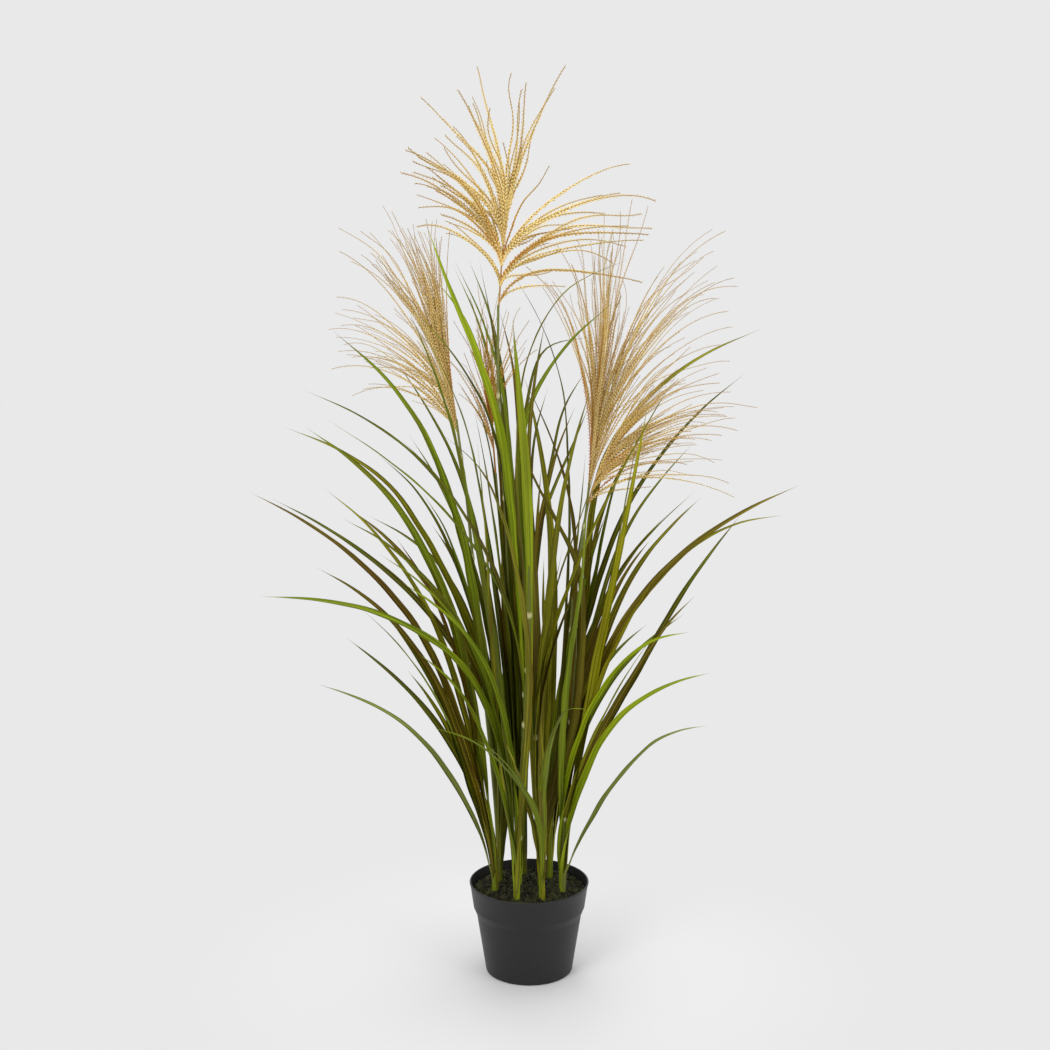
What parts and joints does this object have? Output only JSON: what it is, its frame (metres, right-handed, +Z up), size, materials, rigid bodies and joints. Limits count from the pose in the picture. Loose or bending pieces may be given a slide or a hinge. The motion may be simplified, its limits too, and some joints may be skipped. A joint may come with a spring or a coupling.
{
  "type": "potted ornamental grass clump",
  "caption": "Tall clump of arching grass leaves with feathery seed plumes, planted in a round tapered nursery pot.",
  "frame": {"origin": "middle of the pot's flat underside", "axes": "+Z up along the pot's axis, -Y the front that is seen first, +X to the right seen from the front"},
  "size_m": [0.695, 0.56, 1.205],
  "materials": {
    "pot_plastic": "satin moulded plastic, charcoal",
    "soil_mix": "rough dark bark compost with moss",
    "culm": "smooth grey-green stem with pale joints",
    "plume": "dry golden seed branches",
    "leaf_bright": "satin leaf, yellow-green",
    "leaf_green": "satin leaf, mid green",
    "leaf_olive": "satin leaf, olive",
    "leaf_dark": "satin leaf, dark green",
    "leaf_brown": "satin leaf, brown flush",
    "leaf_pale": "satin leaf, pale green",
    "leaf_yellow": "satin leaf, ochre yellow"
  },
  "bodies": {
    "root": {"pot": "pot_plastic", "soil": "soil_mix", "culm_top": "culm", "culm_left": "culm", "culm_back_left": "culm", "culm_right_front": "culm", "culm_right_back": "culm", "plume_top": "plume", "plume_left": "plume", "plume_back_left": "plume", "plume_right_front": "plume", "plume_right_back": "plume", "leaf_01": "leaf_pale", "leaf_02": "leaf_dark", "leaf_03": "leaf_dark", "leaf_04": "leaf_brown", "leaf_05": "leaf_dark", "leaf_06": "leaf_bright", "leaf_07": "leaf_bright", "leaf_08": "leaf_green", "leaf_09": "leaf_olive", "leaf_10": "leaf_green", "leaf_11": "leaf_dark", "leaf_12": "leaf_dark", "leaf_13": "leaf_green", "leaf_14": "leaf_dark", "leaf_15": "leaf_dark", "leaf_16": "leaf_green", "leaf_17": "leaf_dark", "leaf_18": "leaf_green", "leaf_19": "leaf_bright", "leaf_20": "leaf_bright", "leaf_21": "leaf_dark", "leaf_22": "leaf_dark", "leaf_23": "leaf_dark", "leaf_24": "leaf_bright", "leaf_25": "leaf_green", "leaf_26": "leaf_olive", "leaf_27": "leaf_dark", "leaf_28": "leaf_green", "leaf_29": "leaf_dark", "leaf_30": "leaf_brown", "leaf_31": "leaf_brown", "leaf_32": "leaf_dark", "leaf_33": "leaf_dark", "leaf_34": "leaf_olive", "leaf_35": "leaf_dark", "leaf_36": "leaf_olive", "leaf_37": "leaf_dark", "leaf_38": "leaf_dark", "leaf_39": "leaf_yellow", "leaf_40": "leaf_green", "leaf_41": "leaf_dark", "leaf_42": "leaf_olive", "leaf_43": "leaf_dark", "leaf_44": "leaf_olive", "leaf_45": "leaf_green", "leaf_46": "leaf_green", "leaf_47": "leaf_pale", "leaf_48": "leaf_green"}
  },
  "joints": []
}
